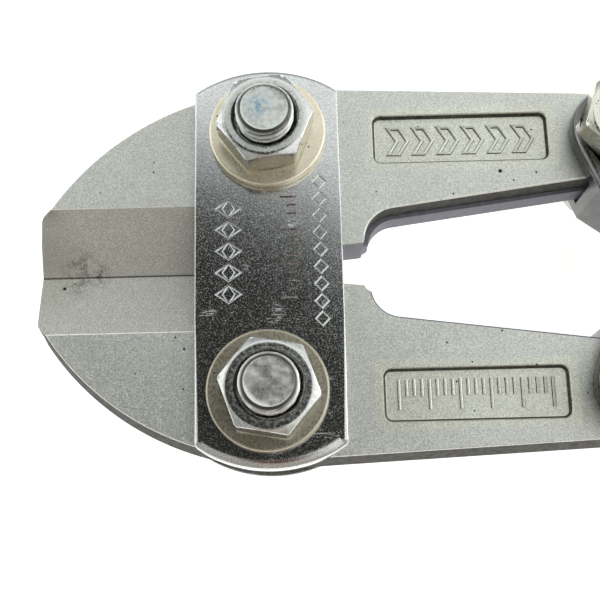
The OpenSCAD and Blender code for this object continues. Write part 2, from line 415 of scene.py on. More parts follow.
def blasted_steel():
    """The jaws' silver finish over a shot-blasted forging: fine grain, cloudy tone and pinholes."""
    m = Nodes("blasted_steel", Metallic=0.82)
    cloud = m.noise(70, 3, 0.6)
    grain = m.noise(6500, 2, 0.8)
    flake = m.split(m.cells(8200, "Color"))[0]
    tone = m.mix(m.span(cloud, 0.35, 0.65), (0.77, 0.785, 0.725), (0.83, 0.85, 0.80))
    tone = m.mix(m.span(grain, 0.36, 0.64), m.mix(1.0, tone, (0.60, 0.60, 0.59), "MULTIPLY"), tone)
    tone = m.mix(m.span(flake, 0.66, 1.0, 0.0, 0.6), tone, (0.95, 0.96, 0.92))
    pale = m.mix(1.0, tone, (1.06, 1.05, 1.0), "MULTIPLY")
    tone = m.mix(halo(m), tone, pale)
    dark = m.larger(pits(m, 330, 0.13, 0.14), pits(m, 900, 0.16, 0.05))
    tone = m.mix(dark, tone, (0.012, 0.012, 0.012))
    height = m.plus(m.times(grain, 0.6), m.times(flake, 0.25))
    height = m.math("SUBTRACT", height, m.times(dark, 1.5))
    return m.finish(Base_Color=tone, Roughness=m.span(flake, 0.0, 1.0, 0.30, 0.44),
                    Normal=m.bump(height, 0.8, 0.035))


def halo(m):
    """1 in the slightly raised, paler band around a sunk panel."""
    x, y, _ = m.split()
    middle = ((PANEL[0] + PANEL[1]) / 2 * MM, (PANEL[2] + PANEL[3]) / 2 * MM)
    half = ((PANEL[1] - PANEL[0]) / 2 * MM, (PANEL[3] - PANEL[2]) / 2 * MM)
    dx = m.math("SUBTRACT", m.absolute(m.math("SUBTRACT", x, middle[0])), half[0])
    beside = m.absolute(m.math("SUBTRACT", m.absolute(y), middle[1]))
    dy = m.math("SUBTRACT", beside, half[1])
    reach = m.plus(m.larger(dx, dy), m.times(m.noise(120, 2), 0.0008))
    return m.span(reach, 0.0013, 0.0019, 1.0, 0.0)


def ground_steel():
    """The cutting bevels: ground, then silvered over, with a handling smudge near the tip, and painted
    shade in a thin dark line along the cutting edge, where the jaws meet.
    """
    m = Nodes("ground_steel", Metallic=0.6)
    grain = m.noise(6500, 2, 0.8)
    flake = m.split(m.cells(7800, "Color"))[0]
    tone = m.mix(m.span(grain, 0.38, 0.62), (0.37, 0.37, 0.335), (0.66, 0.655, 0.605))
    tone = m.mix(m.span(flake, 0.70, 1.0, 0.0, 0.55), tone, (0.80, 0.79, 0.74))
    ragged = m.noise(900, 5, 0.75)
    smudge = m.larger(m.spot((-27.6, 1.3, 0.6), 3.8), m.spot((-25.2, 0.6, 0.3), 2.6))
    smudge = m.larger(smudge, m.spot((-31.2, 9.2, 3.9), 1.3))
    smudge = m.times(m.span(ragged, 0.40, 0.62), smudge)
    tone = m.mix(m.times(smudge, 0.8), tone, (0.10, 0.08, 0.055))
    brown = m.larger(m.spot((-32.5, 3.0, 1.5), 7.0), m.spot((-31.5, 8.5, 3.6), 4.0))
    tone = m.mix(m.times(brown, 0.40), tone, (0.30, 0.26, 0.20))
    # Painted shade: a thin dark line along the cutting edge, in the crevice where the two jaws meet.
    edge = m.span(m.absolute(m.split()[1]), 0.05 * MM, 0.22 * MM, 0.85, 0.0)
    tone = m.mix(edge, tone, (0.035, 0.028, 0.02))
    dark = pits(m, 300, 0.12, 0.12)
    tone = m.mix(dark, tone, (0.012, 0.012, 0.012))
    return m.finish(Base_Color=tone, Roughness=m.span(flake, 0.0, 1.0, 0.40, 0.58),
                    Normal=m.bump(m.plus(grain, m.times(flake, 0.4)), 0.4, 0.03))


def trimmed_steel():
    """Where the forging's flash was sheared off: smooth purplish grey."""
    m = Nodes("trimmed_steel", Metallic=0.2)
    drag = m.noise(900, 3, 0.6, m.scaled((1.0, 1.0, 0.15)))
    tone = m.mix(m.span(drag, 0.3, 0.7), (0.15, 0.15, 0.18), (0.21, 0.21, 0.25))
    return m.finish(Base_Color=tone, Roughness=m.span(drag, 0.3, 0.7, 0.42, 0.58),
                    Normal=m.bump(drag, 0.3, 0.04))


def scale_and_shade_steel():
    """The unfinished upper wall of the arms: coarse forging skin, painted very dark as shade. The same dark
    material is painted shade on the outer walls, the pocket walls and the marks' flanks.
    """
    m = Nodes("scale_and_shade_steel", Metallic=0.3)
    skin = m.noise(1100, 5, 0.7)
    tone = m.mix(m.span(skin, 0.3, 0.72), (0.030, 0.028, 0.024), (0.11, 0.105, 0.092))
    return m.finish(Base_Color=tone, Roughness=0.68, Normal=m.bump(skin, 0.7, 0.12))


def edge_highlight_steel():
    """A painted bright highlight along an edge, broken up in chips."""
    m = Nodes("edge_highlight_steel", Metallic=0.35)
    chip = m.noise(1300, 3, 0.7)
    tone = m.mix(m.span(chip, 0.30, 0.48), (0.55, 0.56, 0.50), (0.98, 0.98, 0.90))
    return m.finish(Base_Color=tone, Roughness=0.3, Normal=m.bump(chip, 0.4, 0.04))


def chrome_plate():
    """Bright plating with a fine orange-peel speckle and short random scratches."""
    m = Nodes("chrome_plate", Metallic=1.0)
    speck = m.noise(4800, 3, 0.8)
    cloud = m.noise(110, 3, 0.6)
    scratch = None
    for angle, shift, density in ((0.4, 3.1, 150), (1.3, 7.7, 120), (2.5, 1.9, 135)):
        turn = m.add("ShaderNodeMapping")
        m.plug(turn, "Vector", m.coords)
        m.plug(turn, "Rotation", (0.0, 0.0, angle))
        m.plug(turn, "Location", (shift, shift * 0.7, 0.0))
        m.plug(turn, "Scale", (0.09, 1.0, 0.4))
        line = m.noise(density * 12, 2, 0.5, turn.outputs[0])
        line = m.span(m.absolute(m.math("SUBTRACT", line, 0.5)), 0.0, 0.008, 1.0, 0.0)
        scratch = line if scratch is None else m.larger(scratch, line)
    rare = m.span(m.noise(230, 3, 0.6), 0.60, 0.70)
    scratch = m.times(scratch, rare)
    tone = m.mix(m.span(cloud, 0.3, 0.7), (0.69, 0.70, 0.71), (0.76, 0.77, 0.77))
    fleck = m.noise(7500, 2, 0.8)
    tone = m.mix(m.span(speck, 0.40, 0.62), m.mix(1.0, tone, (0.74, 0.74, 0.72), "MULTIPLY"), tone)
    tone = m.mix(m.times(scratch, 0.6), tone, (0.93, 0.93, 0.93))
    height = m.math("SUBTRACT", speck, m.times(scratch, 0.8))
    return m.finish(Base_Color=tone, Roughness=m.span(fleck, 0.50, 0.72, 0.08, 0.42),
                    Normal=m.bump(height, 0.6, 0.012))


def washer_zinc(name="washer_zinc", shade=1.0):
    """Warm passivated zinc, turned smooth. A lower shade gives a darker copy of it, painted shade."""
    m = Nodes(name, Metallic=0.85)
    cloud = m.noise(320, 3, 0.6)
    speck = m.noise(2600, 2, 0.7)
    dull = tuple(shade * c for c in (0.83, 0.75, 0.57))
    tone = m.mix(m.span(cloud, 0.3, 0.7), dull, tuple(shade * c for c in (0.92, 0.85, 0.68)))
    tone = m.mix(pits(m, 700, 0.13, 0.10), tone, (0.10, 0.08, 0.05))
    return m.finish(Base_Color=tone, Roughness=m.span(speck, 0.3, 0.75, 0.24, 0.38),
                    Normal=m.bump(speck, 0.25, 0.01))


def bright_zinc(name="bright_zinc", grime_r=5.4, tint=(0.72, 0.73, 0.71), seat=WASHER_TOP):
    """Bright zinc on nuts and bolts: turning rings, dulling, grime round the thread, painted shade on the
    steep side walls and a painted contact shadow at the seat.
    """
    m = Nodes(name, Metallic=1.0)
    r = m.radius()
    rings = m.noise(1.0, 3, 0.7, m.along_x(m.times(r, 3600.0)))
    mottle = m.noise(2100, 4, 0.65)
    tone = m.mix(m.span(mottle, 0.3, 0.7), tuple(c * 0.80 for c in tint), tint)
    tone = m.mix(m.times(m.span(rings, 0.5, 0.7), 0.35), tone, tuple(c * 0.45 for c in tint))
    up = m.span(m.normal()[2], 0.6, 0.9)
    near = m.span(r, BOLT_R * MM, grime_r * MM, 1.0, 0.0)
    dirt = m.times(m.times(near, up), m.span(m.noise(1700, 4, 0.7), 0.34, 0.58))
    speckle = m.times(m.span(m.noise(1900, 3, 0.7), 0.60, 0.70), m.times(up, 0.75))
    tone = m.mix(m.larger(dirt, speckle), tone, (0.17, 0.165, 0.15))
    # Painted shade: the steep side walls are darkened, and a thin band at the seat height is painted near
    # black as a contact shadow.
    level = m.absolute(m.math("SUBTRACT", m.split()[2], seat * MM))
    wall = m.span(m.absolute(m.normal()[2]), 0.2, 0.5, 1.0, 0.0)
    tone = m.mix(m.times(wall, 0.30), tone, (0.20, 0.18, 0.13))
    tone = m.mix(m.span(level, 0.25 * MM, 0.55 * MM, 0.9, 0.0), tone, (0.03, 0.025, 0.018))
    height = m.plus(m.times(rings, 0.5), m.times(mottle, 0.7))
    rough = m.plus(m.span(mottle, 0.3, 0.75, 0.13, 0.30), m.times(dirt, 0.30))
    return m.finish(Base_Color=tone, Roughness=rough, Normal=m.bump(height, 0.35, 0.022))


def in_thread(m):
    """1 deep in a bolt's thread, 0 on its crests and its end: where shade is painted."""
    deep = m.span(m.radius(), (BOLT_R - 0.48) * MM, (BOLT_R - 0.12) * MM, 1.0, 0.0)
    return m.times(deep, m.span(m.absolute(m.normal()[2]), 0.90, 0.98, 1.0, 0.0))


def bolt_zinc():
    """The bolts' ends: bright, hammered a little, with painted shade deep in the thread."""
    m = Nodes("bolt_zinc", Metallic=0.85)
    mottle = m.noise(900, 4, 0.65)
    tone = m.mix(m.span(mottle, 0.3, 0.7), (0.62, 0.62, 0.60), (0.82, 0.82, 0.79))
    # Painted shade in the thread's roots.
    tone = m.mix(m.times(in_thread(m), 0.92), tone, (0.025, 0.022, 0.018))
    speckle = m.span(m.noise(2500, 3, 0.7), 0.60, 0.70)
    tone = m.mix(m.times(speckle, 0.5), tone, (0.14, 0.13, 0.12))
    return m.finish(Base_Color=tone, Roughness=m.span(mottle, 0.3, 0.75, 0.24, 0.42),
                    Normal=m.bump(mottle, 0.3, 0.03))


def inked_zinc():
    """As bolt_zinc, with a rubbed blue inspection mark on a plain, finely speckled end."""
    m = Nodes("inked_zinc", Metallic=0.85)
    mottle = m.noise(1900, 4, 0.7)
    tone = m.mix(m.span(mottle, 0.35, 0.65), (0.52, 0.54, 0.52), (0.74, 0.76, 0.73))
    ink = m.times(m.spot((-0.8, 0.3, BOLT_TOP), 2.3), m.span(m.noise(1500, 4, 0.7), 0.42, 0.60))
    tone = m.mix(m.times(ink, 0.85), tone, (0.10, 0.30, 0.52))
    # Painted shade in the thread's roots.
    tone = m.mix(m.times(in_thread(m), 0.92), tone, (0.025, 0.022, 0.018))
    return m.finish(Base_Color=tone, Roughness=m.span(mottle, 0.3, 0.75, 0.22, 0.40),
                    Normal=m.bump(mottle, 0.3, 0.03))


def forged_handle():
    """Plated forging: grey, slightly uneven under the plating, with painted shade on its steep walls and
    darker round the link eyes.
    """
    m = Nodes("forged_handle", Metallic=1.0)
    swell = m.noise(260, 3, 0.55)
    speck = m.noise(1800, 3, 0.7)
    tone = m.mix(m.span(swell, 0.3, 0.7), (0.36, 0.36, 0.355), (0.52, 0.525, 0.52))
    # Painted shade: the steep side walls are darkened.
    wall = m.span(m.absolute(m.normal()[2]), 0.35, 0.85, 1.0, 0.0)
    tone = m.mix(m.times(wall, 0.75), tone, (0.07, 0.07, 0.068))
    # Darker round the link eyes.
    eyes = [m.spot((LINK.x, side * LINK.y, HANDLE_TOP), 10.5) for side in (1, -1)]
    eye_darkening = m.span(m.larger(*eyes), 0.10, 0.40, 0.0, 0.80)
    tone = m.mix(eye_darkening, tone, (0.05, 0.05, 0.047))
    tone = m.mix(pits(m, 900, 0.12, 0.08), tone, (0.03, 0.03, 0.03))
    height = m.plus(m.times(swell, 1.2), m.times(speck, 0.15))
    return m.finish(Base_Color=tone, Roughness=m.span(speck, 0.3, 0.75, 0.16, 0.34),
                    Normal=m.bump(height, 0.45, 0.08))


def grip_vinyl():
    """Dipped red vinyl: a soft gloss, faint dimples and a slightly uneven coat."""
    m = Nodes("grip_vinyl", Specular_IOR_Level=0.45, Coat_Weight=0.12, Coat_Roughness=0.25)
    dimples = m.cells(900, "Distance")
    coat = m.noise(45, 2, 0.5)
    fine = m.noise(1500, 3, 0.6)
    tone = m.mix(m.span(coat, 0.3, 0.7), (0.47, 0.016, 0.014), (0.58, 0.026, 0.020))
    dust = m.span(m.noise(600, 4, 0.7), 0.62, 0.78, 0.0, 0.25)
    tone = m.mix(dust, tone, (0.62, 0.16, 0.13))
    height = m.plus(m.times(dimples, 0.5), m.plus(m.times(fine, 0.2), coat))
    return m.finish(Base_Color=tone, Roughness=m.span(fine, 0.3, 0.7, 0.30, 0.44),
                    Normal=m.bump(height, 0.35, 0.06))


# ---- marks

def chevrons(x0, x1, y, height, count):
    """A row of outlined arrowheads, each a closed path."""
    step = (x1 - x0) / count
    lean, wide = step * 0.34, step * 0.42
    row = []
    for i in range(count):
        x = x0 + step * (i + 0.1)
        row.append([(x, y - height / 2), (x + wide, y - height / 2), (x + wide + lean, y),
                    (x + wide, y + height / 2), (x, y + height / 2), (x + lean, y)])
    return row


def ruler(x0, x1, y, height, count):
    """A row of long and short ticks."""
    ticks = []
    for i in range(count):
        x = x0 + (x1 - x0) * i / (count - 1)
        reach = height if i % 4 == 0 else height * 0.55
        ticks.append([(x, y - height / 2), (x, y - height / 2 + reach)])
    return ticks


def diamonds(x0, x1, y, height, count):
    """A row of outlined diamonds, each a closed path."""
    step = (x1 - x0) / count
    half = step * 0.40
    return [[(x0 + step * (i + 0.5) - half, y), (x0 + step * (i + 0.5), y - height / 2),
             (x0 + step * (i + 0.5) + half, y), (x0 + step * (i + 0.5), y + height / 2)]
            for i in range(count)]


def upright(path):
    """Turns a path a quarter turn, to run up the plate."""
    return [(-y, x) for x, y in path]


# ---- jaws

# Material indices of a jaw. The fourth is dark forging skin that is also painted shade; the fifth is a
# painted bright highlight along edges.
BODY, BEVEL, TRIM, SKIN_AND_SHADE, EDGE_HIGHLIGHT = range(5)
BACK_C = (1.7, -12.5)
BACK_R = 39.7
BEVEL_END_X = -1.0

# The inner wall where its flash was sheared off, and as it left the forge.
TRIMMED = dict(inner=5.38, neck=(18.7, 3.45), neck_r=4.4)
FORGED = dict(inner=5.93, neck=(18.45, 3.55), neck_r=4.8)
INNER_SLOPE = 0.1343
DRAFT = 0.75


def arm_top(x):
    return 27.5 - 0.042 * x


def jaw_outline(inner, neck, neck_r, draft):
    """(points, kinds) round one level of the forging: each kind names the stretch that starts there."""
    corner_a = math.degrees(math.atan2(9.5 - BACK_C[1], -31.4 - BACK_C[0]))
    top_x = 4.0
    top_a = math.degrees(math.atan2(arm_top(top_x) - BACK_C[1], top_x - BACK_C[0]))
    top_r = math.hypot(arm_top(top_x) - BACK_C[1], top_x - BACK_C[0])
    lean = math.degrees(math.atan(INNER_SLOPE))
    path = []

    def run(points, kind):
        path.extend((p, kind) for p in points)

    run([(FRONT_X, 0), (-20, 0), (-10, 0)], "edge")
    run([(-3.2, 0), (-2.0, 1.4), (4.0, 2.1)], "relief")
    run([(10.7, 2.85), (12.6, 3.05)], "butt")
    run([(13.4, 3.15), (13.62, neck[1] + 0.2)], "burr")
    run(arc(neck, neck_r, 172, 90 + lean, 14), "fillet")
    run([(x, inner + INNER_SLOPE * x) for x in (21, 26, 31, 36, 41, 46)], "arm")
    run(arc(LINK[:2], 6.5, -95, 92, 26), "end")
    run([(x, arm_top(x) + draft) for x in (46, 36, 26, 16, 8)], "top")
    for i in range(33):
        t = 1 - i / 32
        radius = BACK_R + (top_r - BACK_R) * t * t + draft
        run([polar(BACK_C, radius, corner_a + (top_a - corner_a) * t)], "back")
    slip = draft * 0.35
    run(fillet((-31.3 - slip, 9.6 + slip), (-32.75 - slip, 8.0 + slip), (FRONT_X, 4.0), 1.6, 4), "front")
    return [p for p, _ in path], [k for _, k in path]


def jaw_slab():
    """The forging between its two faces. One half of the inner wall was sheared when the flash came off,
    and stands a little proud of the other; the outer wall swells to the parting line."""
    steps = 4
    parting = steps + 3
    upper_edge = 2 * steps + 1
    trimmed, kinds = jaw_outline(draft=0, **TRIMMED)
    forged, _ = jaw_outline(draft=0, **FORGED)
    radii = [{"edge": 0.02, "front": 0.25, "relief": 0.2, "butt": 0.12, "burr": 0.1, "fillet": 0.2,
              "arm": 0.22}.get(k, 0.25) for k in kinds]
    rings = list(reversed(edge_rings(trimmed, -JAW_TOP, -1, radii, radii, steps)))
    for height, level in ((-0.25, TRIMMED), (0.05, TRIMMED), (0.12, FORGED), (0.35, FORGED)):
        rings.append([(x, y, height) for x, y in jaw_outline(draft=DRAFT, **level)[0]])
    rings += edge_rings(forged, JAW_TOP, 1, radii, radii, steps)

    def tags(ring, i):
        kind = kinds[i]
        if kind in ("arm", "fillet"):
            if ring < parting:
                return TRIM
            # Above the trimmed half, the inner wall takes the dark skin material as painted shade, and its
            # rounded top edge takes a painted bright highlight.
            return SKIN_AND_SHADE if ring < upper_edge else EDGE_HIGHLIGHT
        if kind in ("butt", "burr", "relief"):
            return TRIM if steps <= ring <= steps + 4 else BODY
        # The outer wall's band round the parting line takes the dark skin material: painted shade on the
        # side walls.
        return SKIN_AND_SHADE if steps <= ring <= steps + 4 else BODY

    return loft(rings, tags=tags)


def bevel_cutter(side):
    """The wedge that grinds one face down to the cutting edge, with a thin facet at its top that takes a
    painted bright highlight.
    """
    slope = JAW_TOP / BEVEL_W
    facet_in, facet_out = 0.09, 0.06
    section = [(-1.0, 0.01), (0.0, 0.01), (BEVEL_W - facet_in, (BEVEL_W - facet_in) * slope),
               (BEVEL_W + facet_out, JAW_TOP + 0.001), (BEVEL_W + facet_out, JAW_TOP + 1),
               (-1.0, JAW_TOP + 1)]
    rings = [[(x, y, z * side) for y, z in section] for x in (FRONT_X - 5, BEVEL_END_X)]
    # The thin facet takes the bright edge material: a painted highlight along the bevel's ridge.
    bm = loft(rings, tags=lambda ring, i: EDGE_HIGHLIGHT if i == 2 else BEVEL)
    for face in bm.faces:
        if len(face.verts) > 4:
            face.material_index = BEVEL
    return bm


def panel_cutter(side):
    """A pocket with sloping walls, rounded corners and a softened rim; its steep walls take the dark skin
    material, painted shade.
    """
    x0, x1, y0, y1 = PANEL
    depth = PANEL_DEPTH
    levels = ((0.30, -0.30), (0.02, -0.16), (-0.06, -0.04), (-0.18, 0.03), (0.14 - depth, 0.26),
              (0.04 - depth, 0.34), (-depth, 0.48))
    rings = []
    for rise, inset in levels:
        radius = max(0.35, 1.15 - inset)
        corners = ((x1 - inset, y0 + inset, -90), (x1 - inset, y1 - inset, 0),
                   (x0 + inset, y1 - inset, 90), (x0 + inset, y0 + inset, 180))
        ring = []
        for x, y, start in corners:
            sx, sy = (1 if x < (x0 + x1) / 2 else -1), (1 if y < (y0 + y1) / 2 else -1)
            ring += arc((x + sx * radius, y + sy * radius), radius, start, start + 90, 6)
        rings.append([(px, py, side * (JAW_TOP + rise)) for px, py in ring])
    # The pocket's steep walls take the dark skin material: painted shade inside the pocket.
    return loft(rings, tags=lambda ring, i: SKIN_AND_SHADE if 3 <= ring <= 4 else BODY)


def holes(centres, radius, low, high):
    bm = bmesh.new()
    for x, y in centres:
        loft([[(*polar((x, y), radius, 7.5 * i), z) for i in range(48)] for z in (low, high)], bm)
    return bm


def make_jaw(name, materials):
    obj = build(name, jaw_slab(), (0, 0, 0), materials)
    for side in (1, -1):
        cut(obj, bevel_cutter(side))
        cut(obj, panel_cutter(side))
    floor = JAW_TOP - PANEL_DEPTH
    relief = bmesh.new()
    middle_y = (PANEL[2] + PANEL[3]) / 2 - 0.1
    # The marks' steep flanks take the dark skin material: painted shade at their sides.
    for path in chevrons(PANEL[0] + 2.0, PANEL[1] - 1.6, middle_y, 4.0, 6):
        bead(path, floor, 0.26, True, relief, flank=SKIN_AND_SHADE)
    for path in ruler(PANEL[0] + 2.2, PANEL[1] - 2.2, middle_y, 4.2, 21):
        bead(path, -floor, 0.27, False, relief, flank=SKIN_AND_SHADE)
    cut(obj, relief, "UNION", crossing=True)
    cut(obj, holes([PIVOT[:2], LINK[:2]], BOLT_R + 0.05, -JAW_TOP - 1, JAW_TOP + 1))
    smooth(obj, 28)
    return obj


# ---- plates

def plate_outline():
    half_w = PLATE_HIGH.x
    crown = PLATE_HIGH.y
    end_r = 18.3
    middle = crown - end_r
    edge_a = math.degrees(math.acos(half_w / end_r))
    corner = (half_w, middle + end_r * math.sin(math.radians(edge_a)))
    inside = polar((0, middle), end_r, edge_a + 8)
    right = fillet((half_w, 0), corner, inside, 1.1, 5)
    top = arc((0, middle), end_r, edge_a + 6, 180 - edge_a - 6, 22)
    left = [(-x, y) for x, y in reversed(right)]
    upper = [(half_w, 8.0)] + right + top + left + [(-half_w, 8.0)]
    return upper + [(-x, -y) for x, y in upper]


def make_plate(name, face_z, side, material, marked):
    """A crowned strap. Its sheared ends are rolled over more than its sides, on the outer face."""
    outline = plate_outline()
    thick = PLATE_HIGH.z - PLATE_LOW.z
    crown = [min(1.0, max(0.0, (abs(y) - 24.6) / 1.4)) for _, y in outline]
    sharp = [0.22] * len(outline)
    far = [0.45 if y > 0 else 1.0 for _, y in outline]
    across = [0.20 + 1.6 * c * f for c, f in zip(crown, far)]
    down = [0.20 + 0.65 * c * f for c, f in zip(crown, far)]
    bm = slab(outline, face_z, face_z + thick, sharp, 6, top=(across, down))
    obj = build(name, bm, (0, 0, 0), [material])
    if side < 0:
        obj.data.transform(Matrix.Diagonal((1, 1, -1, 1)))
        obj.data.flip_normals()
    low, high = sorted((side * face_z, side * (face_z + thick)))
    cut(obj, holes([(0, PIVOT.y), (0, -PIVOT.y)], BOLT_R + 0.1, low - 1, high + 1))
    if marked:
        rows = ((diamonds(-6.4, 9.2, 5.6, 3.5, 5), 0.15, True),
                (diamonds(-6.4, 9.2, 5.6, 1.7, 5), 0.11, True),
                (ruler(-5.4, 9.2, -2.8, 2.3, 13), 0.17, False),
                (diamonds(-9.8, 12.6, -7.3, 1.9, 9), 0.14, True))
        for paths, radius, closed in rows:
            marks = bmesh.new()
            for path in paths:
                bead(upright(path), high + 0.02, radius, closed, marks)
            cut(obj, marks, crossing=True)
    smooth(obj, 30)
    return obj


# ---- fasteners

def make_washer(name, centre, low, material):
    high = low + WASHER_TOP - HANDLE_TOP
    rim = 0.35
    profile = [(WASHER_R - rim * (1 - math.sin(t)), high - rim * (1 - math.cos(t)))
               for t in (math.pi / 2 * i / 4 for i in range(5))]
    profile += [(WASHER_R, low + 0.5), (WASHER_R - 0.05, low + 0.12), (WASHER_R - 0.25, low)]
    profile += [(BOLT_R + 0.25, low), (BOLT_R + 0.25, high - 0.1), (BOLT_R + 0.35, high)]
    obj = build(name, turned(list(reversed(profile)), centre), (*centre, low), [material])
    smooth(obj, 40)
    return obj


def hex_reach(degrees):
    """The hexagon's radius at an angle, with its corners softened."""
    a = (degrees + 30) % 60 - 30
    flat = HEX_AF / 2 / math.cos(math.radians(30 - abs(a)))
    return min(flat, HEX_AF / 2 / math.cos(math.radians(30)) - 0.12)


def hex_angles():
    """Angles round a hexagon with a corner at 0, close together at the corners."""
    offsets = (0, 0.8, 1.6, 2.6, 5, 10, 16, 22, 30, 38, 44, 50, 55, 57.4, 58.4, 59.2)
    return [60 * k + o for k in range(6) for o in offsets]


def hex_piece(name, centre, low, high, turn, material, bore=True, both=True, dish=0.0):
    """A nut, or a bolt head without its bore: flats chamfered by 30 degree cones, a countersunk thread."""
    face_r = HEX_AF / 2 * 0.955
    slope = math.tan(math.radians(30))
    rings = []
    for a in hex_angles():
        r = hex_reach(a)
        drop = (r - face_r) * slope
        soft = 0.09
        ring = [(face_r - 0.35, high), (face_r - soft, high - 0.004),
                (face_r + soft, high - soft * slope), (r - soft, high - drop + soft * slope),
                (r - 0.015, high - drop - 0.05), (r, high - drop - 0.14)]
        if both:
            ring += [(r, low + drop + 0.42), (r - 0.30, low + drop + 0.12),
                     (face_r - 0.3, low), (face_r - 0.6, low)]
        else:
            ring += [(r, low + 0.12), (r - 0.1, low)]
        if bore:
            ring += [(BOLT_R + 0.1, low), (BOLT_R - 0.05, low + 0.8), (BOLT_R - 0.05, high - 0.75),
                     (BOLT_R + 0.62, high - 0.05), (BOLT_R + 0.7, high)]
        else:
            ring = [(face_r * 0.62, high - dish), (face_r * 0.72, high)] + ring
            ring = [(0.4, high - dish)] + ring + [(0.4, low)]
        rings.append([(*polar(centre, q, a + turn), z) for q, z in ring])
    bm = loft(rings, closed=True)
    if not bore:
        cap_loops(bm, centre)
    obj = build(name, bm, (*centre, 0), [material])
    smooth(obj, 24)
    return obj


def cap_loops(bm, centre):
    """Takes out a turned solid's narrow inner wall and closes the hole that it leaves at each end."""
    wall_r = 0.45
    wall = [f for f in bm.faces
            if all(math.hypot(v.co.x - centre[0], v.co.y - centre[1]) < wall_r for v in f.verts)]
    bmesh.ops.delete(bm, geom=wall, context="FACES_ONLY")
    bmesh.ops.holes_fill(bm, edges=[e for e in bm.edges if e.is_boundary], sides=0)


def thread_depth(z, degrees):
    """How far the thread is sunk below its crest: a 60 degree V with a narrow flat crest and root."""
    phase = (z / THREAD_PITCH - degrees / 360) % 1.0
    return 0.68 * min(1.0, max(0.0, 1.3 * (1 - abs(2 * phase - 1)) - 0.15))


def make_bolt_end(name, centre, low, high, material, dent, seed):
    """The threaded end: a helical thread, a chamfered tip, and a face that has been knocked about."""
    steps, per_pitch = 80, 14
    tip, tip_r, crest = 0.55, BOLT_R - 0.75, BOLT_R - 0.02
    rows = int((high - low) / THREAD_PITCH * per_pitch)
    rings = []
    for k in range(rows + 1):
        z = low + (high - low) * k / rows
        limit = min(crest, tip_r + (crest - tip_r) * (high - z) / tip)
        ring = []
        for i in range(steps):
            a = 360 * i / steps
            r = min(crest - thread_depth(z, a), limit)
            ring.append((*polar(centre, r, a), z))
        rings.append(ring)
    face_r = tip_r - 0.08
    while face_r > 0.2:
        ring = []
        for i in range(steps):
            x, y = polar((0, 0), face_r, 360 * i / steps)
            wave = noise.noise(Vector((x * 0.30 + seed, y * 0.30, seed)))
            wave += 0.22 * noise.noise(Vector((x * 1.1, y * 1.1 + seed, seed)))
            ease = min(1.0, (tip_r - face_r) / 0.5)
            ring.append((centre[0] + x, centre[1] + y, high - 0.02 + dent * ease * min(0.0, wave - 0.1)))
        rings.append(ring)
        face_r -= 0.24
    return build(name, loft(rings), (*centre, 0), [material])


def make_bolt(name, centre, top, head_high, material, zinc, dent, seed):
    """A hexagon bolt, head down: head, plain shank and threaded end, joined."""
    thread_from = HANDLE_TOP + 0.3
    end = make_bolt_end(name, centre, thread_from, top, material, dent, seed)
    profile = [(0.3, head_high - 0.5), (0.3, thread_from + 0.2), (BOLT_R - 0.75, thread_from + 0.2),
               (BOLT_R - 0.02, thread_from - 0.3), (BOLT_R - 0.02, head_high - 0.5)]
    shank = build("shank", turned(profile, centre, 64), (*centre, 0), [material])
    head = hex_piece("head", centre, -head_high, -BASE_Z, 0, zinc, bore=False, both=False, dish=0.25)
    head.data.transform(Matrix.Diagonal((1, 1, -1, 1)))
    head.data.flip_normals()
    head.modifiers.clear()
    smooth(end, 34, weighted=False)
    smooth(shank, 40, weighted=False)
    with bpy.context.temp_override(active_object=end, selected_editable_objects=[end, shank, head]):
        bpy.ops.object.join()
    return end


# ---- handles

EYE_LINK_R = 7.1
EYE_CENTRE_R = 8.0
TONGUE_R = 7.6
RECESS_R = 9.3
EAR_GAP = 4.05
TONGUE_Z = 3.9
SHANK_C = (TAIL_X - 98.5, 15.7)
SHANK_W, SHANK_T = 11.0, 8.0
FRONT_LIMIT = 142
SWING = JOINTS["upper_handle_swing"]["range_deg"][1]
GRIP_START = local(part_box("upper_grip")[0]).x
GRIP_W, GRIP_T = 19.0, 16.0
BOW_END_Y, BOW_RISE = 15.5, 4.0
BOW_CHORD = TAIL_X - SHANK_C[0]
BOW_R = BOW_CHORD ** 2 / (8 * BOW_RISE) + BOW_RISE / 2
BOW_C = (SHANK_C[0] + BOW_CHORD / 2, BOW_END_Y + BOW_RISE - BOW_R)


def bow_point(x, across, z):
    """A point beside the bowed centre line: x along it, across outwards from it."""
    a = math.asin((x - BOW_C[0]) / BOW_R)
    return (BOW_C[0] + (BOW_R + across) * math.sin(a), BOW_C[1] + (BOW_R + across) * math.cos(a), z)


def head_outline():
    """The handle head: a hull round its three eyes, cut off at the stop face and behind the jaws."""
    outline = hull(arc(LINK[:2], EYE_LINK_R, 0, 360, 72) + arc(CENTRE[:2], EYE_CENTRE_R, 0, 360, 72)
                   + arc(SHANK_C, SHANK_W / 2, 0, 360, 48))
    outline = clip(outline, (CENTRE.x, STOP_GAP), (0, 1))
    limit = math.radians(FRONT_LIMIT)
    outline = clip(outline, CENTRE[:2], (math.sin(limit), -math.cos(limit)))
    keep = [p for p in outline if math.hypot(p[0] - CENTRE.x, p[1]) > RECESS_R + 0.05]
    start = min(range(len(keep)), key=lambda i: (abs(keep[i][1] - STOP_GAP) > 0.01, keep[i][0]))
    ordered = keep[start:] + keep[:start]
    recess = arc(CENTRE[:2], RECESS_R, FRONT_LIMIT - 0.5, 1.6, 30)
    return ordered + recess


def star(radius, reach):
    """The centre eye with its bridge to the head, as a radius that changes with the angle."""
    points = []
    for i in range(120):
        a = 3.0 * i
        into = min(max((a - 20) / 6, 0), 1) * min(max((134 - a) / 6, 0), 1)
        points.append(polar(CENTRE[:2], radius + (reach - radius) * into, a))
    return points


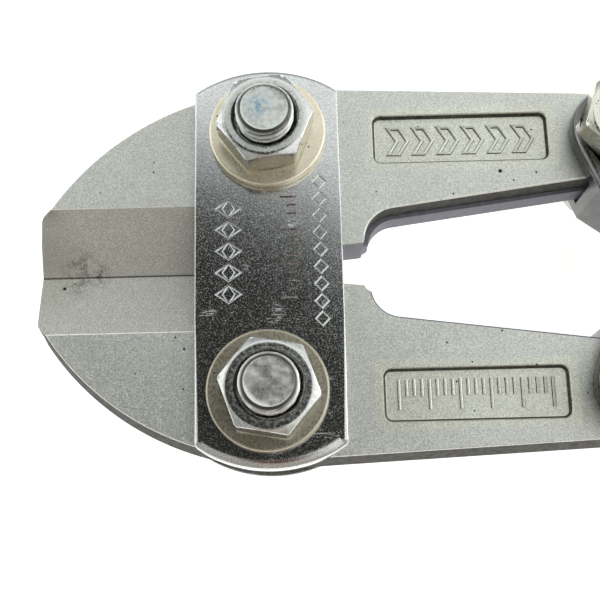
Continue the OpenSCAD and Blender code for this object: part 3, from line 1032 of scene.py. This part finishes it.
def taper(bm, start, end, factor):
    """Thins a slab smoothly along +X, from full thickness to a fraction of it."""
    for v in bm.verts:
        t = min(1.0, max(0.0, (v.co.x - start) / (end - start)))
        v.co.z *= 1 - (1 - factor) * t * t * (3 - 2 * t)
    return bm


def oval_ring(x, width, thick, power):
    """One section across the bowed line: a rounded oval, squarer with a higher power."""
    steps = 40
    ring = []
    for i in range(steps):
        a = 2 * math.pi * i / steps
        c, s = math.cos(a), math.sin(a)
        u = math.copysign(abs(c) ** (2 / power), c) * width / 2
        w = math.copysign(abs(s) ** (2 / power), s) * thick / 2
        ring.append(bow_point(x, u, w))
    return ring


def fork_cutter():
    sweep = 180 - SWING
    shoulder = polar(LINK[:2], 7.0, sweep - 90)
    far = polar(shoulder, 40, sweep)
    left = LINK.x - 40
    outline = [(LINK.x, LINK.y - 7.0)] + arc(LINK[:2], 7.0, -88, sweep - 90, 22)[1:]
    outline += [far, (left, LINK.y + 40), (left, LINK.y - 12), (LINK.x - 1, LINK.y - 7.0)]
    return loft([[(x, y, z) for x, y in outline] for z in (-EAR_GAP, EAR_GAP)])


def make_handle(name, ears, material):
    head = slab(head_outline(), -HANDLE_TOP, HANDLE_TOP, 0.9, 5)
    taper(head, SHANK_C[0] - 11, SHANK_C[0] + 3, 0.62)
    obj = build(name, head, (0, 0, 0), [material])
    if ears:
        for side in (1, -1):
            low, high = sorted((side * EAR_GAP, side * (HANDLE_TOP - 0.05)))
            cut(obj, slab(star(EYE_CENTRE_R, RECESS_R + 0.9), low, high, 0.3, 3), "UNION")
    else:
        cut(obj, slab(star(TONGUE_R, RECESS_R + 0.9), -TONGUE_Z, TONGUE_Z, 0.3, 3), "UNION")
    shank = loft([oval_ring(x, SHANK_W, SHANK_T, 4.5) for x in
                  [SHANK_C[0] - 4 + (TAIL_X - 12 - SHANK_C[0] + 4) * i / 24 for i in range(25)]])
    cut(obj, shank, "UNION")
    cut(obj, fork_cutter())
    bore = BOLT_R + 0.9 if ears else BOLT_R
    cut(obj, holes([LINK[:2]], BOLT_R, -HANDLE_TOP - 1, HANDLE_TOP + 1))
    cut(obj, holes([CENTRE[:2]], bore, -HANDLE_TOP - 1, HANDLE_TOP + 1))
    smooth(obj, 30)
    return obj


def make_grip(name, material):
    """A dipped sleeve: rolled lip, a slim neck, a gentle palm swell and a rounded tail."""
    length = TAIL_X - GRIP_START
    dome = 7.0
    inner = 0.4
    stations = [(0.0, 0.80), (0.15, 0.88), (0.5, 0.94), (1.1, 0.975), (1.9, 0.985), (2.7, 0.965),
                (3.4, 0.925), (4.4, 0.905)]
    count = 34
    for i in range(count + 1):
        t = i / count
        s = 5.5 + (length - dome - 5.5) * t
        swell = 0.90 + 0.075 * math.sin(math.pi * min(1.0, t * 1.15)) ** 2 + 0.03 * t
        ripple = 0.008 * math.cos(2 * math.pi * t * 5)
        stations.append((s, swell + ripple))
    last = stations[-1][1]
    for i in range(1, 9):
        a = math.pi / 2 * i / 8
        share = last * max(0.05, math.cos(a) ** 0.75)
        stations.append((length - dome + (dome - 0.02) * math.sin(a), share))
    rings = [oval_ring(GRIP_START + inner, SHANK_W + 0.1, SHANK_T + 0.1, 4.5)]
    for s, share in stations:
        rings.append(oval_ring(GRIP_START + s, GRIP_W * share, GRIP_T * share, 2.6))
    obj = build(name, loft(rings), (0, 0, 0), [material])
    smooth(obj, 60, weighted=False)
    subdivide = obj.modifiers.new("subdivision", "SUBSURF")
    subdivide.levels = 1
    subdivide.render_levels = 1
    return obj


def turn_over(obj):
    """Turns a part made for the upper side over, about the tool's long axis, onto the lower side."""
    obj.rotation_euler = (math.pi, 0, 0)
    return obj


def reflect(obj):
    """Mirrors a part made for the upper side onto the lower side."""
    obj.data.transform(Matrix.Diagonal((1, -1, 1, 1)))
    obj.data.flip_normals()
    return obj


# ---- assembly

STEEL = blasted_steel()
JAW_MATERIALS = [STEEL, ground_steel(), trimmed_steel(), scale_and_shade_steel(), edge_highlight_steel()]
CHROME = chrome_plate()
WASHER = washer_zinc()
# A darker copy of the washer finish: painted shade for the lower jaw's washer.
SHADED_WASHER_ZINC = washer_zinc("shaded_washer_zinc", 0.55)
ZINC = bright_zinc()
LINK_ZINC = bright_zinc("link_zinc", 4.9, (0.84, 0.81, 0.72), HANDLE_TOP)
BOLT = bolt_zinc()
INKED = inked_zinc()
HANDLE = forged_handle()
VINYL = grip_vinyl()

place(make_jaw("upper_jaw_forging", JAW_MATERIALS), "upper_jaw_body", "blasted_steel", "upper_jaw")
place(turn_over(make_jaw("lower_jaw_forging", JAW_MATERIALS)), "lower_jaw_body", "blasted_steel",
      "lower_jaw")

place(make_plate("front_strap", PLATE_LOW.z, 1, CHROME, True), "head", "chrome_plate", "front_plate")
place(make_plate("rear_strap", PLATE_LOW.z, -1, CHROME, False), "head", "chrome_plate", "rear_plate")

UPPER, LOWER = "upper_handle_body", "lower_handle_body"
STRAP_BACK = PLATE_HIGH.z
LOW_PIVOT = (PIVOT.x, -PIVOT.y)
LOW_LINK = (LINK.x, -LINK.y)
FASTENERS = (
    # node stem, body, centre, under the head, under the nut, bolt's top, nut's turn, bolt, nut,
    # and how deep and in what pattern the bolt's end is dented
    ("upper_jaw", "head", PIVOT[:2], STRAP_BACK, WASHER_TOP, BOLT_TOP, 7.5, INKED, ZINC, 0.10, 1.3),
    ("lower_jaw", "head", LOW_PIVOT, STRAP_BACK, WASHER_TOP, BOLT_TOP, -10.3, BOLT, ZINC, 0.14, 4.1),
    ("upper_link", UPPER, LINK[:2], STRAP_BACK, HANDLE_TOP, LINK_TOP, 12.0, BOLT, LINK_ZINC, 0.15, 7.7),
    ("lower_link", LOWER, LOW_LINK, STRAP_BACK, HANDLE_TOP, LINK_TOP, 20.0, BOLT, LINK_ZINC, 0.15, 9.2),
    ("centre", UPPER, CENTRE[:2], WASHER_TOP, WASHER_TOP, BOLT_TOP, 15.0, BOLT, ZINC, 0.2, 2.6),
)
for stem, body, centre, under_head, seat, top, turn, bolt, nut, dent, seed in FASTENERS:
    bolt_piece = make_bolt(stem + "_bolt_m8", centre, top, under_head, bolt, ZINC, dent, seed)
    place(bolt_piece, body, "bright_zinc", stem + "_bolt")
    nut_piece = hex_piece(stem + "_nut_m8", centre, seat, seat + NUT_H, turn, nut)
    place(nut_piece, body, "bright_zinc", stem + "_nut")

WASHERS = (
    # node, body, centre, underside, material; the two jaw washers lie off their bolts' centres
    ("upper_jaw_washer", "head", (PIVOT.x + 0.15, PIVOT.y + 0.05), HANDLE_TOP, WASHER),
    ("lower_jaw_washer", "head", (PIVOT.x - 0.38, 0.25 - PIVOT.y), HANDLE_TOP, SHADED_WASHER_ZINC),
    ("centre_front_washer", UPPER, CENTRE[:2], HANDLE_TOP, WASHER),
    ("centre_rear_washer", UPPER, CENTRE[:2], -WASHER_TOP, WASHER),
)
for node, body, centre, low, finish in WASHERS:
    place(make_washer(node + "_m8", centre, low, finish), body, "washer_zinc", node)

place(make_handle("upper_lever", False, HANDLE), UPPER, "forged_handle", "upper_handle")
place(reflect(make_handle("lower_lever", True, HANDLE)), LOWER, "forged_handle", "lower_handle")
place(make_grip("upper_sleeve", VINYL), UPPER, "grip_vinyl", "upper_grip")
place(reflect(make_grip("lower_sleeve", VINYL)), LOWER, "grip_vinyl", "lower_grip")


# ---- stage

TENT = (0.80, 0.82, 0.82)
TENT_PANELS = (
    # towards, full within and gone beyond these degrees from it, colour; later panels cover earlier ones
    ((0, -1, 0.35), 20, 70, (0.46, 0.43, 0.38)),              # near side, warm
    ((-1, -0.2, 0.5), 15, 60, (0.46, 0.47, 0.45)),            # left
    ((1, 0.1, 0.8), 15, 60, (1.25, 1.27, 1.26)),              # right, bright
    ((0, 1, 1.0), 20, 55, (1.12, 1.16, 1.15)),                # far side, high and bright
    ((0, 1, 0), 15, 50, (0.42, 0.44, 0.45)),                  # far horizon
    ((-0.158, 0.052, 1), 17.8, 22.8, (0.030, 0.031, 0.026)),  # dark ceiling
    ((0, -0.42, 1), 4, 13, (0.13, 0.06, 0.055)),              # reddish patch in it
)


def make_floor():
    """A large pale sheet that also glows a little, like a light table."""
    m = Nodes("floor_white", Roughness=0.9, Specular_IOR_Level=0.1)
    tone = m.mix(m.noise(8, 2), (0.90, 0.90, 0.90), (0.92, 0.92, 0.92))
    m.shader.inputs["Emission Color"].default_value = (1, 1, 1, 1)
    m.shader.inputs["Emission Strength"].default_value = 0.75
    m.finish(Base_Color=tone)
    bpy.ops.mesh.primitive_plane_add(size=6, location=(0, 0, -0.0004))
    floor = bpy.context.object
    floor.name = "floor"
    floor.data.materials.append(m.material)


def area_light(name, place_at, aim, size, power, colour):
    data = bpy.data.lights.new(name, "AREA")
    data.shape = "RECTANGLE"
    data.size, data.size_y = size
    data.energy = power
    data.color = colour
    lamp = bpy.data.objects.new(name, data)
    lamp.location = place_at
    lamp.rotation_euler = (Vector(aim) - Vector(place_at)).to_track_quat("-Z", "Y").to_euler()
    bpy.context.scene.collection.objects.link(lamp)


def make_world():
    """A soft tent of light, brightest to the sides and the far edge, with a dim ceiling."""
    world = bpy.data.worlds.new("studio")
    world.use_nodes = True
    tree = world.node_tree
    coords = tree.nodes.new("ShaderNodeTexCoord").outputs["Generated"]

    def lit(direction, low, high):
        """1 towards a direction, falling off between two angles from it (degrees)."""
        dot = tree.nodes.new("ShaderNodeVectorMath")
        dot.operation = "DOT_PRODUCT"
        tree.links.new(coords, dot.inputs[0])
        dot.inputs[1].default_value = Vector(direction).normalized()
        ramp = tree.nodes.new("ShaderNodeMapRange")
        ramp.interpolation_type = "SMOOTHSTEP"
        tree.links.new(dot.outputs["Value"], ramp.inputs[0])
        ramp.inputs[1].default_value = math.cos(math.radians(high))
        ramp.inputs[2].default_value = math.cos(math.radians(low))
        return ramp.outputs[0]

    def layer(below, mask, colour):
        mix = tree.nodes.new("ShaderNodeMix")
        mix.data_type = "RGBA"
        tree.links.new(mask, mix.inputs[0])
        if isinstance(below, tuple):
            mix.inputs[6].default_value = (*below, 1)
        else:
            tree.links.new(below, mix.inputs[6])
        mix.inputs[7].default_value = (*colour, 1)
        return mix.outputs[2]

    tone = TENT
    for direction, full, gone, colour in TENT_PANELS:
        tone = layer(tone, lit(direction, full, gone), colour)
    background = tree.nodes["Background"]
    tree.links.new(tone, background.inputs["Color"])
    background.inputs["Strength"].default_value = 1.0
    bpy.context.scene.world = world


def make_camera():
    """The viewpoint: nearly overhead, a little to the cutter's lower side, close in on the head."""
    data = bpy.data.cameras.new("camera")
    data.sensor_width = 36
    data.lens = 61.07
    data.clip_start = 0.01
    data.clip_end = 20
    camera = bpy.data.objects.new("camera", data)
    camera.location = HEAD + Vector((4.47, -41.0, 142.58)) * MM
    camera.rotation_euler = (0.25325, 0.00805, -0.02351)
    bpy.context.scene.collection.objects.link(camera)
    bpy.context.scene.camera = camera


make_floor()
make_world()
make_camera()
AIM = (HEAD.x, 0, 0.01)
area_light("side_left", (HEAD.x - 0.75, 0.15, 0.35), AIM, (0.6, 0.4), 0.8, (0.98, 1.0, 1.0))
area_light("side_right", (HEAD.x + 0.8, 0.1, 0.35), AIM, (0.6, 0.4), 0.8, (1.0, 0.99, 0.97))
bpy.context.scene.view_settings.view_transform = "Standard"
